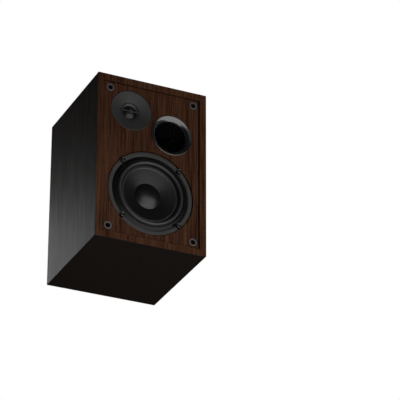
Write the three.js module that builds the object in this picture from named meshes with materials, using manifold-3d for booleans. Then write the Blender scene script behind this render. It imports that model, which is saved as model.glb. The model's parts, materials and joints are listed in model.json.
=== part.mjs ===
// A two-way bookshelf loudspeaker: the left one of a pair, with a front port, shown without its grille.
// Millimetres, +Z up. The front faces -Y, and the origin is the centre of the underside.

import * as THREE from 'three';
import { mergeVertices } from 'three/addons/utils/BufferGeometryUtils.js';
import Module from 'manifold-3d';

// Cabinet
const WIDTH = 176;
const DEPTH = 188;
const HEIGHT = 270;
const PANEL = 9.6; // board thickness of the four folded panels
const LAMINATE = 0.8; // walnut laminate over the front edges of the boards
const BAFFLE_SETBACK = 3.3; // the baffle lies this far behind the front edge
const BAFFLE = 12;
const REAR_INSET = 4.5;
const REAR_PANEL = 9;

// Places on the baffle, as [x, z], and main radii
const WOOFER_AT = [ 0, 87.5 ];
const WOOFER_R = 67;
const WOOFER_SINK = 1.2; // the woofer's flange lies this far below the baffle's surface
const WOOFER_SCREW_CIRCLE = 63.4;
const TWEETER_AT = [ - 33, 217.8 ];
const TWEETER_R = 32.6;
const PORT_AT = [ 32.5, 190.3 ];
const PORT_R = 33;
const PORT_BORE = 24.2;
const PORT_FLARE = [ 7.4, 8 ]; // how far the mouth widens, and over which depth
const PORT_END = 118; // depth of the tube's inner end behind the front edge
const SOCKET_X = 67.4;
const SOCKET_Z = [ 20.7, 249.3 ];
const SOCKET_BORE = 3.7;

// Terminal cup on the back
const CUP_Z = 95;
const CUP_OPENING = [ 72, 46 ];
const CUP_WALL = 2;
const CUP_FLANGE = [ 92, 66, 2.5 ];
const CUP_RECESS = 20;
const CUP_FLOOR = 2.5;
const POST_SPACING = 19.05;
const POST_Z = CUP_Z - 8;
const POST_R = 3;
const RUNNING_BORE = 3.3; // what turns or slides on a post

// Facets round a full turn
const LARGE = 32;
const MEDIUM = 24;
const SMALL = 16;
const TINY = 10;

const CLEARANCE = 0.3;
const FRONT_Y = - DEPTH / 2;
const BACK_Y = DEPTH / 2;
const BAFFLE_Y = FRONT_Y + BAFFLE_SETBACK;
const REAR_OUTER_Y = BACK_Y - REAR_INSET;
const REAR_INNER_Y = REAR_OUTER_Y - REAR_PANEL;
const INNER_W = WIDTH - 2 * PANEL;
const INNER_H = HEIGHT - 2 * PANEL;
const WOOFER_FACE = BAFFLE_SETBACK + WOOFER_SINK;

const wasm = await Module();
wasm.setup();

// ---------------------------------------------------------------- solids

// The manifold solid that a closed three.js geometry bounds.
function solid( geometry ) {

	const bare = geometry.clone();
	bare.deleteAttribute( 'normal' );
	bare.deleteAttribute( 'uv' );
	const merged = mergeVertices( bare, 1e-4 );
	const triangles = [];
	for ( let i = 0; i < merged.index.count; i += 3 ) {

		const [ a, b, c ] = [ 0, 1, 2 ].map( ( k ) => merged.index.getX( i + k ) );
		if ( a !== b && b !== c && c !== a ) triangles.push( a, b, c );

	}

	return new wasm.Manifold( new wasm.Mesh( {
		numProp: 3,
		vertProperties: new Float32Array( merged.attributes.position.array ),
		triVerts: new Uint32Array( triangles ),
	} ) );

}

function geometryOf( manifold ) {

	const { vertProperties, triVerts } = manifold.getMesh();
	const geometry = new THREE.BufferGeometry();
	geometry.setAttribute( 'position', new THREE.BufferAttribute( vertProperties, 3 ) );
	geometry.setIndex( new THREE.BufferAttribute( triVerts, 1 ) );
	geometry.computeVertexNormals();
	return geometry;

}

// A solid turned about the Y axis through [x, z]. Its profile is [radius, y] points, either closed or ending on the axis.
function turned( profile, facets, [ x, z ] = [ 0, 0 ], y = 0 ) {

	const points = profile.map( ( [ radius, along ] ) => new THREE.Vector2( radius, along ) );
	if ( THREE.ShapeUtils.area( points ) < 0 ) points.reverse();
	if ( points[ 0 ].x > 0 ) points.push( points[ 0 ].clone() );
	const geometry = new THREE.LatheGeometry( points, facets );
	return solid( geometry.translate( x, y, z ) );

}

function ring( inner, outer, y0, y1 ) {

	return [ [ inner, y0 ], [ outer, y0 ], [ outer, y1 ], [ inner, y1 ] ];

}

function rod( radius, y0, y1 ) {

	return ring( 0, radius, y0, y1 );

}

// An outline in the XZ plane, extruded from y0 to y1.
function slab( shape, y0, y1, curveSegments = 4 ) {

	const geometry = new THREE.ExtrudeGeometry( shape, { depth: y1 - y0, bevelEnabled: false, curveSegments } );
	return solid( geometry.rotateX( Math.PI / 2 ).translate( 0, y1, 0 ) );

}

function block( [ x0, x1 ], [ y0, y1 ], [ z0, z1 ] ) {

	const geometry = new THREE.BoxGeometry( x1 - x0, y1 - y0, z1 - z0 );
	return solid( geometry.translate( ( x0 + x1 ) / 2, ( y0 + y1 ) / 2, ( z0 + z1 ) / 2 ) );

}

function rectangle( width, height, centreZ, radius = 0 ) {

	const [ x, z0, z1 ] = [ width / 2, centreZ - height / 2, centreZ + height / 2 ];
	const shape = new THREE.Shape();
	if ( radius === 0 ) {

		return shape.moveTo( - x, z0 ).lineTo( x, z0 ).lineTo( x, z1 ).lineTo( - x, z1 );

	}

	shape.absarc( x - radius, z0 + radius, radius, - Math.PI / 2, 0 );
	shape.absarc( x - radius, z1 - radius, radius, 0, Math.PI / 2 );
	shape.absarc( - x + radius, z1 - radius, radius, Math.PI / 2, Math.PI );
	shape.absarc( - x + radius, z0 + radius, radius, Math.PI, 1.5 * Math.PI );
	return shape;

}

// A round wire along a smooth curve through points.
function wire( points, radius = 1.1, steps = 20 ) {

	const path = new THREE.CatmullRomCurve3( points.map( ( p ) => new THREE.Vector3( ...p ) ) );
	const section = new THREE.Shape().absarc( 0, 0, radius, 0, 2 * Math.PI );
	return solid( new THREE.ExtrudeGeometry( section, { extrudePath: path, steps, curveSegments: 3 } ) );

}

const joined = ( first, ...rest ) => rest.reduce( ( whole, piece ) => whole.add( piece ), first );
const cut = ( first, ...rest ) => rest.reduce( ( whole, piece ) => whole.subtract( piece ), first );
const offset = ( profile, y ) => profile.map( ( [ radius, along ] ) => [ radius, along + y ] );

// ---------------------------------------------------------------- materials

const finishes = {
	blackAsh: [ 0x1d1612, 0.4, 0 ],
	walnut: [ 0x3b2416, 0.45, 0 ],
	blackSteel: [ 0x303130, 0.5, 0 ],
	zincSteel: [ 0xa9abad, 0.35, 0.9 ],
	ferrite: [ 0x2b2c2e, 0.75, 0 ],
	rubber: [ 0x181819, 0.4, 0 ],
	foam: [ 0x202020, 0.95, 0 ],
	paperCone: [ 0x121212, 0.5, 0 ],
	glossCap: [ 0x121212, 0.25, 0 ],
	satinPlastic: [ 0x242424, 0.5, 0 ],
	glossPlastic: [ 0x101011, 0.2, 0 ],
	copper: [ 0xb06a3a, 0.35, 0.9 ],
	kapton: [ 0xb5792c, 0.4, 0 ],
	damperCloth: [ 0xc49a3f, 0.9, 0 ],
	brass: [ 0xc9a24d, 0.3, 0.95 ],
	redPlastic: [ 0x9e1b1b, 0.35, 0 ],
	blackPlastic: [ 0x161617, 0.4, 0 ],
	phenolic: [ 0x9a6f3c, 0.6, 0 ],
	filmCapacitor: [ 0x2e4f7d, 0.4, 0 ],
	ceramic: [ 0xe4e0d6, 0.8, 0 ],
	wadding: [ 0xe9e8e4, 1, 0 ],
	redSleeve: [ 0xa82222, 0.45, 0 ],
	blackSleeve: [ 0x1a1a1a, 0.45, 0 ],
};

const speaker = new THREE.Group();

function add( name, manifold, finish ) {

	const [ color, roughness, metalness ] = finishes[ finish ];
	const mesh = new THREE.Mesh(
		geometryOf( manifold ),
		new THREE.MeshStandardMaterial( { color, roughness, metalness } ),
	);
	mesh.name = name;
	speaker.add( mesh );

}

// ---------------------------------------------------------------- cabinet

// Four boards folded at mitred corners, as [name, outer corner pair, inner corner pair].
function addPanels() {

	const [ xo, xi ] = [ WIDTH / 2, WIDTH / 2 - PANEL ];
	const [ top, under ] = [ HEIGHT, HEIGHT - PANEL ];
	const boards = {
		left_side_panel: [ [ - xo, 0 ], [ - xi, PANEL ], [ - xi, under ], [ - xo, top ] ],
		right_side_panel: [ [ xo, 0 ], [ xo, top ], [ xi, under ], [ xi, PANEL ] ],
		top_panel: [ [ - xo, top ], [ - xi, under ], [ xi, under ], [ xo, top ] ],
		bottom_panel: [ [ - xo, 0 ], [ xo, 0 ], [ xi, PANEL ], [ - xi, PANEL ] ],
	};
	for ( const [ name, corners ] of Object.entries( boards ) ) {

		const outline = new THREE.Shape( corners.map( ( [ x, z ] ) => new THREE.Vector2( x, z ) ) );
		add( name, slab( outline, FRONT_Y + LAMINATE, BACK_Y ), 'blackAsh' );

	}

}

// The laminate covers the boards' front edges and turns back over the sides of the recess.
function edgeLaminate() {

	const skin = slab( rectangle( WIDTH, HEIGHT, HEIGHT / 2 ), FRONT_Y, FRONT_Y + LAMINATE );
	const lip = slab( rectangle( INNER_W, INNER_H, HEIGHT / 2 ), FRONT_Y, BAFFLE_Y );
	const recess = rectangle( INNER_W - 2 * LAMINATE, INNER_H - 2 * LAMINATE, HEIGHT / 2 );
	return cut( joined( skin, lip ), slab( recess, FRONT_Y - 1, BAFFLE_Y + 1 ) );

}

const WOOFER_COUNTERBORE = [ 68.3, WOOFER_FACE + 3.2 ]; // radius, and depth of its floor behind the front edge
const WOOFER_HOLE = 61.8;
const TWEETER_COUNTERBORE = [ TWEETER_R + CLEARANCE, BAFFLE_SETBACK + 2.7 ];
const TWEETER_HOLE = 27;
const PORT_HOLE = 30.5;
const SOCKET_BARREL = 5;
const SCREW_HOLE = 2.3;

const socketPlaces = SOCKET_Z.flatMap( ( z ) => [ [ - SOCKET_X, z ], [ SOCKET_X, z ] ] );

function wooferScrewPlaces() {

	const reach = WOOFER_SCREW_CIRCLE * Math.SQRT1_2;
	return [ [ - 1, 1 ], [ 1, 1 ], [ 1, - 1 ], [ - 1, - 1 ] ].map(
		( [ sx, sz ] ) => [ WOOFER_AT[ 0 ] + sx * reach, WOOFER_AT[ 1 ] + sz * reach ] );

}

function baffle() {

	const through = [ 0, BAFFLE_SETBACK + BAFFLE + 1 ];
	const holes = [
		turned( rod( WOOFER_COUNTERBORE[ 0 ], 0, WOOFER_COUNTERBORE[ 1 ] ), LARGE, WOOFER_AT, FRONT_Y ),
		turned( rod( WOOFER_HOLE, ...through ), LARGE, WOOFER_AT, FRONT_Y ),
		turned( rod( TWEETER_COUNTERBORE[ 0 ], 0, TWEETER_COUNTERBORE[ 1 ] ), MEDIUM, TWEETER_AT, FRONT_Y ),
		turned( rod( TWEETER_HOLE, ...through ), MEDIUM, TWEETER_AT, FRONT_Y ),
		turned( rod( PORT_HOLE, ...through ), MEDIUM, PORT_AT, FRONT_Y ),
		...socketPlaces.map( ( at ) => turned( rod( SOCKET_BARREL + CLEARANCE, ...through ), TINY, at, FRONT_Y ) ),
		...wooferScrewPlaces().map( ( at ) => turned( rod( SCREW_HOLE, ...through ), 8, at, FRONT_Y ) ),
	];
	return cut( slab( rectangle( INNER_W, INNER_H, HEIGHT / 2 ), BAFFLE_Y, BAFFLE_Y + BAFFLE ), ...holes );

}

const CUP_INNER_Y = REAR_OUTER_Y + CUP_FLANGE[ 2 ] - CUP_RECESS; // the cup's floor, seen from behind
const CUP_BACK_Y = CUP_INNER_Y - CUP_FLOOR;
const CUP_BODY = CUP_OPENING.map( ( size ) => size + 2 * CUP_WALL );
const cupScrewPlaces = [ [ - 1, 1 ], [ 1, 1 ], [ 1, - 1 ], [ - 1, - 1 ] ].map(
	( [ sx, sz ] ) => [ sx * ( CUP_FLANGE[ 0 ] / 2 - 4.5 ), CUP_Z + sz * ( CUP_FLANGE[ 1 ] / 2 - 4.5 ) ] );

function rearPanel() {

	const [ width, height ] = CUP_BODY.map( ( size ) => size + 2 * CLEARANCE );
	return cut(
		slab( rectangle( INNER_W, INNER_H, HEIGHT / 2 ), REAR_INNER_Y, REAR_OUTER_Y ),
		slab( rectangle( width, height, CUP_Z, 6 ), REAR_INNER_Y - 1, REAR_OUTER_Y + 1 ),
		...cupScrewPlaces.map( ( at ) => turned( rod( 1.9, REAR_INNER_Y - 1, REAR_OUTER_Y + 1 ), 8, at ) ),
	);

}

// ---------------------------------------------------------------- port and grille sockets

function portTube() {

	const flare = [];
	for ( let step = 0; step <= 6; step ++ ) {

		const turn = step / 6 * Math.PI / 2;
		flare.push( [
			PORT_BORE + PORT_FLARE[ 0 ] * ( 1 - Math.cos( turn ) ),
			BAFFLE_SETBACK - 1.5 + PORT_FLARE[ 1 ] * ( 1 - Math.sin( turn ) ),
		] );

	}

	const seat = BAFFLE_SETBACK - 0.1;
	return turned( [
		...flare,
		[ 32.6, 2.2 ], [ PORT_R, seat ], [ 30.2, seat ], [ 30.2, 8 ],
		[ 26.6, 12 ], [ 26.4, PORT_END ], [ PORT_BORE, PORT_END ],
	], MEDIUM, PORT_AT, FRONT_Y );

}

function grilleSocket( at ) {

	const seat = BAFFLE_SETBACK - 0.1;
	return turned( [
		[ 0, 12.8 ], [ SOCKET_BORE, 12.8 ], [ SOCKET_BORE, 2 ], [ 6, 2 ], [ 6.4, 2.4 ], [ 6.4, seat ],
		[ SOCKET_BARREL, seat ], [ SOCKET_BARREL, 14 ], [ 0, 14 ],
	], TINY, at, FRONT_Y );

}

// ---------------------------------------------------------------- woofer, depths behind the front edge

const CONE_RIM = 46.2;
const CAP_R = 20.4;
const COIL_R = 13.1; // outside of the former
const SPIDER_SEAT = 27.4;
const BASKET_BACK = 40;
const GAP_TOP = 40.3;

function wooferBasket() {

	const face = WOOFER_FACE;
	const shell = turned( [
		[ 15, 38.4 ], [ 32.4, 38.4 ], [ 33.9, SPIDER_SEAT ], [ 41, SPIDER_SEAT ], [ 53, 7.5 ], [ 59.6, 7.5 ],
		[ 60.2, face + 0.8 ], [ 61.2, face ], [ 66.3, face ], [ WOOFER_R, face + 0.7 ], [ WOOFER_R, face + 2.4 ],
		[ 61.3, face + 2.4 ], [ 61.3, 9 ], [ 54, 9 ], [ 42.7, 29 ], [ 35.5, 29 ], [ 34, BASKET_BACK ], [ 15, BASKET_BACK ],
	], LARGE, WOOFER_AT, FRONT_Y );
	const windows = [];
	for ( let k = 0; k < 6; k ++ ) {

		const opening = new THREE.BoxGeometry( 24, 14, 22 );
		opening.translate( 0, FRONT_Y + 18.5, 48 ).rotateY( k * Math.PI / 3 );
		windows.push( solid( opening.translate( WOOFER_AT[ 0 ], 0, WOOFER_AT[ 1 ] ) ) );

	}

	const screwHoles = wooferScrewPlaces().map( ( at ) => turned( rod( SCREW_HOLE, 0, 12 ), 8, at, FRONT_Y ) );
	return cut( shell, ...windows, ...screwHoles );

}

function wooferGasket() {

	const seal = turned( ring( 62.2, 66.8, WOOFER_FACE + 2.45, WOOFER_FACE + 3.15 ), LARGE, WOOFER_AT, FRONT_Y );
	return cut( seal, ...wooferScrewPlaces().map( ( at ) => turned( rod( 2.1, 0, 12 ), 8, at, FRONT_Y ) ) );

}

// Half of an ellipse in a profile, from its inner foot over the crest to its outer foot.
function arch( centre, halfWidth, foot, crest, steps ) {

	const points = [];
	for ( let step = 0; step <= steps; step ++ ) {

		const turn = Math.PI * step / steps;
		points.push( [ centre - halfWidth * Math.cos( turn ), foot - ( foot - crest ) * Math.sin( turn ) ] );

	}

	return points;

}

// A rubber roll with a wedge-shaped bead round it, and a beaded lip that is glued to the cone.
function wooferSurround() {

	return turned( [
		[ 41.9, 8.1 ], [ 42.6, 7.1 ], [ 43.4, 7.3 ], [ 43.9, 7.6 ],
		...arch( 49.3, 3.7, 7.5, 1, 6 ),
		[ 53.2, 6.9 ], [ 54, 4.6 ], [ 58.7, 7 ], [ 58.8, 7.35 ], [ 53, 7.35 ],
		...arch( 49.3, 2.9, 7.9, 1.8, 6 ).reverse(),
		[ 43.8, 7.9 ],
	], LARGE, WOOFER_AT, FRONT_Y );

}

function wooferCone() {

	return turned( [
		[ 13.3, 20.3 ], [ 16, 17.6 ], [ 20.5, 15.2 ], [ 30, 11.7 ], [ 43, 8.1 ], [ CONE_RIM, 8.1 ],
		[ CONE_RIM, 8.7 ], [ 43.2, 8.8 ], [ 30.3, 12.4 ], [ 20.9, 15.9 ], [ 16.5, 18.2 ], [ 13.8, 21.5 ], [ 13.3, 21.5 ],
	], LARGE, WOOFER_AT, FRONT_Y );

}

// Points of a dome's section from the axis to its rim.
function dome( rim, rise, crest, steps ) {

	const radius = ( rim * rim + rise * rise ) / ( 2 * rise );
	const half = Math.asin( rim / radius );
	return Array.from( { length: steps + 1 }, ( _, step ) => {

		const turn = half * step / steps;
		return [ radius * Math.sin( turn ), crest + radius * ( 1 - Math.cos( turn ) ) ];

	} );

}

function shellDome( rim, rise, crest, wall, steps ) {

	const inside = dome( rim - wall, rise - wall / 2, crest + wall, steps ).reverse();
	return [ ...dome( rim, rise, crest, steps ), ...inside ];

}

function wooferSpider() {

	const front = [ [ 13.3, 25.4 ], [ 16, 25.4 ], [ 20, 24.2 ], [ 24.5, 26.4 ], [ 29, 24.2 ], [ 33.5, 26.6 ], [ 40, 26.6 ] ];
	return turned( [ ...front, ...offset( front, 0.6 ).reverse() ], MEDIUM, WOOFER_AT, FRONT_Y );

}

function wooferTerminalStrip() {

	const x = WOOFER_AT[ 0 ] - 35.8;
	const y = FRONT_Y + 34.5;
	const tab = ( dz ) => block( [ x - 9, x - 1 ], [ y - 0.4, y + 0.4 ], [ WOOFER_AT[ 1 ] + dz - 2, WOOFER_AT[ 1 ] + dz + 2 ] );
	const board = block( [ x - 1.8, x ], [ y - 3.5, y + 3.5 ], [ WOOFER_AT[ 1 ] - 11, WOOFER_AT[ 1 ] + 11 ] );
	return joined( board, tab( - 6 ), tab( 6 ) );

}

// A socket-head screw that stands on the flange and bites into the baffle.
function wooferScrew( at ) {

	const seat = WOOFER_FACE - 0.05;
	const body = turned( [
		[ 0, 0.5 ], [ 3.2, 0.5 ], [ 3.5, 0.8 ], [ 3.5, seat ], [ 1.9, seat ], [ 1.9, 13 ], [ 0, 15 ],
	], TINY, at, FRONT_Y );
	return cut( body, turned( rod( 1.75, 0, 2.7 ), 6, at, FRONT_Y ) );

}

function addWoofer() {

	const part = ( profile, facets = MEDIUM ) => turned( profile, facets, WOOFER_AT, FRONT_Y );
	add( 'woofer_basket', wooferBasket(), 'blackSteel' );
	add( 'woofer_gasket', wooferGasket(), 'foam' );
	add( 'woofer_surround', wooferSurround(), 'rubber' );
	add( 'woofer_cone', wooferCone(), 'paperCone' );
	add( 'woofer_dust_cap', part( shellDome( CAP_R, 7, 7.9, 0.7, 5 ) ), 'glossCap' );
	add( 'woofer_coil_former', part( ring( COIL_R - 0.35, COIL_R, 16.5, 47 ), SMALL ), 'kapton' );
	add( 'woofer_voice_coil', part( ring( COIL_R + 0.1, COIL_R + 0.7, 37.8, 46.8 ), SMALL ), 'copper' );
	add( 'woofer_spider', wooferSpider(), 'damperCloth' );
	add( 'woofer_top_plate', part( ring( 14.6, 35, GAP_TOP, 44.3 ), SMALL ), 'zincSteel' );
	add( 'woofer_magnet', part( ring( 18, 36, 44.5, 58.5 ), SMALL ), 'ferrite' );
	add( 'woofer_pole_yoke', part( [
		[ 4, GAP_TOP ], [ 12.3, GAP_TOP ], [ 12.3, 58.7 ], [ 35.5, 58.7 ], [ 35.5, 62.4 ], [ 34.7, 63.2 ], [ 4, 63.2 ],
	], SMALL ), 'zincSteel' );
	add( 'woofer_terminal_strip', wooferTerminalStrip(), 'phenolic' );
	wooferScrewPlaces().forEach( ( at, k ) => add( `woofer_screw_${ k + 1 }`, wooferScrew( at ), 'blackSteel' ) );

}

// ---------------------------------------------------------------- tweeter, depths behind the front edge

// A shallow horn, moulded in one with the bar and disc that stand before the dome.
function tweeterFaceplate() {

	const rim = BAFFLE_SETBACK - 0.2;
	const horn = turned( [
		[ 10.9, 10.4 ], [ 10.9, 9.2 ], [ 11.6, 8.4 ], [ 14, 8.2 ], [ 14.3, 7 ], [ 22, 5.2 ], [ 30.4, rim + 0.3 ],
		[ 31.4, rim ], [ 32.3, rim ], [ TWEETER_R, rim + 0.4 ], [ TWEETER_R, 5.8 ], [ 26.6, 5.8 ], [ 26.6, 10.4 ],
	], MEDIUM, TWEETER_AT, FRONT_Y );
	const [ x, z ] = TWEETER_AT;
	const across = ( x0, x1, depth ) => block( [ x + x0, x + x1 ], [ FRONT_Y + 5, FRONT_Y + depth ], [ z - 0.8, z + 0.8 ] );
	const disc = turned( rod( 3.1, 4.7, 6.5 ), TINY, TWEETER_AT, FRONT_Y );
	return joined( horn, across( - 16, 16, 6.3 ), across( - 16, - 14.4, 7.4 ), across( 14.4, 16, 7.4 ), disc );

}

function addTweeter() {

	const part = ( profile, facets = SMALL ) => turned( profile, facets, TWEETER_AT, FRONT_Y );
	const [ x, z ] = TWEETER_AT;
	const [ stripY0, stripY1 ] = [ FRONT_Y + 26.6, FRONT_Y + 28.2 ];
	const tab = ( dx ) => block( [ x + dx - 1.5, x + dx + 1.5 ], [ stripY1 - 0.5, stripY1 + 6 ], [ z - 0.4, z + 0.4 ] );
	const strip = block( [ x - 10, x + 10 ], [ stripY0, stripY1 ], [ z - 4, z + 4 ] );
	add( 'tweeter_faceplate', tweeterFaceplate(), 'satinPlastic' );
	add( 'tweeter_surround', part( ring( 10, 15.5, 10.7, 11.1 ) ), 'rubber' );
	add( 'tweeter_dome', part( shellDome( 9.7, 3.4, 7, 0.4, 4 ) ), 'glossCap' );
	add( 'tweeter_voice_coil', part( ring( 9.2, 9.6, 10.6, 15.6 ) ), 'copper' );
	add( 'tweeter_top_plate', part( ring( 10.5, 22.5, 11.4, 14.4 ) ), 'zincSteel' );
	add( 'tweeter_magnet', part( ring( 13, 23, 14.6, 22.6 ) ), 'ferrite' );
	add( 'tweeter_pole_yoke', part( [
		[ 2, 11.4 ], [ 8.8, 11.4 ], [ 8.8, 22.8 ], [ 22.5, 22.8 ], [ 22.5, 26.3 ], [ 2, 26.3 ],
	] ), 'zincSteel' );
	add( 'tweeter_terminal_strip', joined( strip, tab( - 5 ), tab( 5 ) ), 'phenolic' );

}

// ---------------------------------------------------------------- terminals and crossover

const BOARD_Y = [ CUP_BACK_Y - 1.6, CUP_BACK_Y ];
const NUT_Y = [ BOARD_Y[ 0 ] - 2.7, BOARD_Y[ 0 ] - 0.1 ];
const KNOB_Y = [ CUP_INNER_Y + 3.3, CUP_INNER_Y + 16.3 ];
const posts = { red: POST_SPACING / 2, black: - POST_SPACING / 2 };

function terminalCup() {

	const [ width, height ] = CUP_OPENING;
	const holes = [
		...Object.values( posts ).map( ( x ) => turned( rod( RUNNING_BORE, CUP_BACK_Y - 1, BACK_Y ), TINY, [ x, POST_Z ] ) ),
		...cupScrewPlaces.map( ( at ) => turned( rod( 1.9, REAR_OUTER_Y - 1, BACK_Y ), 8, at ) ),
	];
	const body = joined(
		slab( rectangle( ...CUP_BODY, CUP_Z, 6 ), CUP_BACK_Y, REAR_OUTER_Y + 1 ),
		slab( rectangle( CUP_FLANGE[ 0 ], CUP_FLANGE[ 1 ], CUP_Z, 6 ), REAR_OUTER_Y, REAR_OUTER_Y + CUP_FLANGE[ 2 ] ),
	);
	return cut( body, slab( rectangle( width, height, CUP_Z, 4 ), CUP_INNER_Y, BACK_Y ), ...holes );

}

// A cross-slot screw driven in from behind, with its head on the cup's flange.
function cupScrew( at ) {

	const seat = REAR_OUTER_Y + CUP_FLANGE[ 2 ] + 0.05;
	const body = turned( [
		[ 0, REAR_INNER_Y ], [ 1.5, REAR_INNER_Y + 2 ], [ 1.5, seat ], [ 3.2, seat ], [ 3, seat + 1 ], [ 2, seat + 1.7 ], [ 0, seat + 1.8 ],
	], TINY, at );
	const slot = ( w, h ) => block( [ at[ 0 ] - w, at[ 0 ] + w ], [ seat + 0.8, BACK_Y ], [ at[ 1 ] - h, at[ 1 ] + h ] );
	return cut( body, slot( 1.8, 0.35 ), slot( 0.35, 1.8 ) );

}

// A threaded post with a wire hole across it and a plug bore in its end.
function bindingPost( x ) {

	const at = [ x, POST_Z ];
	const end = KNOB_Y[ 1 ] - 0.6;
	const body = turned( [ [ 0, NUT_Y[ 0 ] - 4 ], [ POST_R, NUT_Y[ 0 ] - 4 ], [ POST_R, end ], [ 0, end ] ], TINY, at );
	const wireHole = new THREE.CylinderGeometry( 1.2, 1.2, 8, 8 ).rotateZ( Math.PI / 2 );
	wireHole.translate( x, CUP_INNER_Y + 4.6, POST_Z );
	return cut( body, solid( wireHole ), turned( rod( 2.05, end - 9, end + 1 ), TINY, at ) );

}

// A knob with scalloped flutes round it and a bore right through.
function postKnob( x ) {

	const [ flutes, radius ] = [ 10, 5.8 ];
	const outline = new THREE.Shape();
	for ( let k = 0; k < 2 * flutes; k ++ ) {

		const turn = Math.PI * k / flutes;
		const reach = k % 2 ? radius - 0.7 : radius;
		const point = [ x + reach * Math.cos( turn ), POST_Z + reach * Math.sin( turn ) ];
		if ( k === 0 ) outline.moveTo( ...point );
		else outline.lineTo( ...point );

	}

	const bore = turned( rod( RUNNING_BORE, KNOB_Y[ 0 ] - 1, KNOB_Y[ 1 ] + 1 ), TINY, [ x, POST_Z ] );
	return cut( slab( outline, ...KNOB_Y ), bore );

}

function postNut( x ) {

	const at = [ x, POST_Z ];
	return cut( turned( rod( 5, ...NUT_Y ), 6, at ), turned( rod( RUNNING_BORE, 0, BACK_Y ), TINY, at ) );

}

function addTerminals() {

	add( 'terminal_cup', terminalCup(), 'blackPlastic' );
	cupScrewPlaces.forEach( ( at, k ) => add( `terminal_cup_screw_${ k + 1 }`, cupScrew( at ), 'zincSteel' ) );
	for ( const [ colour, x ] of Object.entries( posts ) ) {

		const collar = turned( ring( RUNNING_BORE, 5.6, CUP_INNER_Y, CUP_INNER_Y + 2 ), TINY, [ x, POST_Z ] );
		const washer = turned( ring( RUNNING_BORE, 5, CUP_INNER_Y + 2.1, CUP_INNER_Y + 3.2 ), TINY, [ x, POST_Z ] );
		add( `${ colour }_binding_post`, bindingPost( x ), 'brass' );
		add( `${ colour }_post_collar`, collar, `${ colour }Plastic` );
		add( `${ colour }_clamp_washer`, washer, 'brass' );
		add( `${ colour }_post_knob`, postKnob( x ), `${ colour }Plastic` );
		add( `${ colour }_post_nut`, postNut( x ), 'brass' );

	}

}

const INDUCTOR_AT = [ - 22, CUP_Z + 9 ];
const CAPACITOR = { x: [ 2, 28 ], z: CUP_Z + 14.5, radius: 6 };
const RESISTOR = { x: [ 0, 24 ], z: [ CUP_Z + 0.5, CUP_Z + 6.5 ] };

function addCrossover() {

	const board = slab( rectangle( 72, 46, CUP_Z ), ...BOARD_Y );
	const postHoles = Object.values( posts ).map( ( x ) => turned( rod( RUNNING_BORE, 0, BACK_Y ), TINY, [ x, POST_Z ] ) );
	const seat = BOARD_Y[ 0 ] - 0.1;
	add( 'crossover_board', cut( board, ...postHoles ), 'phenolic' );
	add( 'crossover_inductor', turned( [
		[ 3, seat - 14 ], [ 11, seat - 14 ], [ 11, seat - 12.8 ], [ 10, seat - 12.8 ],
		[ 10, seat - 1.2 ], [ 11, seat - 1.2 ], [ 11, seat ], [ 3, seat ],
	], SMALL, INDUCTOR_AT ), 'copper' );
	const [ x0, x1 ] = CAPACITOR.x;
	const can = new THREE.CylinderGeometry( CAPACITOR.radius, CAPACITOR.radius, x1 - x0, SMALL ).rotateZ( Math.PI / 2 );
	can.translate( ( x0 + x1 ) / 2, seat - CAPACITOR.radius, CAPACITOR.z );
	add( 'crossover_capacitor', solid( can ), 'filmCapacitor' );
	add( 'crossover_resistor', block( RESISTOR.x, [ seat - 6, seat ], RESISTOR.z ), 'ceramic' );

}

// ---------------------------------------------------------------- wiring and wadding

// Each lead runs from a pad on the crossover board to a tab on its driver.
function addWires() {

	const pad = BOARD_Y[ 0 ] - CLEARANCE;
	const [ wx, wz ] = [ WOOFER_AT[ 0 ] - 45.2, WOOFER_AT[ 1 ] ];
	const wy = FRONT_Y + 34.5;
	const [ tx, tz ] = TWEETER_AT;
	const ty = FRONT_Y + 34.6;
	for ( const [ colour, side ] of [ [ 'red', - 1 ], [ 'black', 1 ] ] ) {

		add( `woofer_${ colour }_wire`, wire( [
			[ - 30 - 2 * side, pad, CUP_Z - 17 ], [ - 30 - 2 * side, pad - 12, CUP_Z - 17 ],
			[ - 42, 10, 66 + 3 * side ], [ - 55, - 25, 68 + 4 * side ],
			[ - 60, wy + 6, wz - 4 + 6 * side ], [ - 56, wy, wz + 6 * side ], [ wx, wy, wz + 6 * side ],
		] ), `${ colour }Sleeve` );
		add( `tweeter_${ colour }_wire`, wire( [
			[ 29 + 3 * side, pad, CUP_Z - 7 ], [ 29 + 3 * side, pad - 12, CUP_Z - 7 ],
			[ 22 + 3 * side, 32, 140 ], [ - 4 + 3 * side, 4, 188 ],
			[ tx + 5 * side, ty + 24, tz ], [ tx + 5 * side, ty, tz ],
		] ), `${ colour }Sleeve` );

	}

}

// A folded mat of polyester wadding behind the port, against the rear panel.
function dampingWadding() {

	return block( [ - 75, 75 ], [ REAR_INNER_Y - 20, REAR_INNER_Y - 0.5 ], [ 150, HEIGHT - PANEL - 2 ] );

}

// ---------------------------------------------------------------- assembly

addPanels();
add( 'front_edge_laminate', edgeLaminate(), 'walnut' );
add( 'front_baffle', baffle(), 'walnut' );
add( 'rear_panel', rearPanel(), 'blackAsh' );
add( 'port_tube', portTube(), 'glossPlastic' );
socketPlaces.forEach( ( at, k ) => add( `grille_socket_${ k + 1 }`, grilleSocket( at ), 'blackPlastic' ) );
addWoofer();
addTweeter();
addTerminals();
addCrossover();
addWires();
add( 'damping_wadding', dampingWadding(), 'wadding' );

export default speaker;
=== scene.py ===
"""The looks of a two-way bookshelf speaker with a walnut front, built round its CAD frame.

Lengths are millimetres in the part's own frame: X right, the front faces -Y, Z up, the origin is the centre
of the underside. "Depth" is how far a point lies behind the front edge of the cabinet. Lights and camera are
placed in metres.
"""

import json
import math
import random

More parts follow.
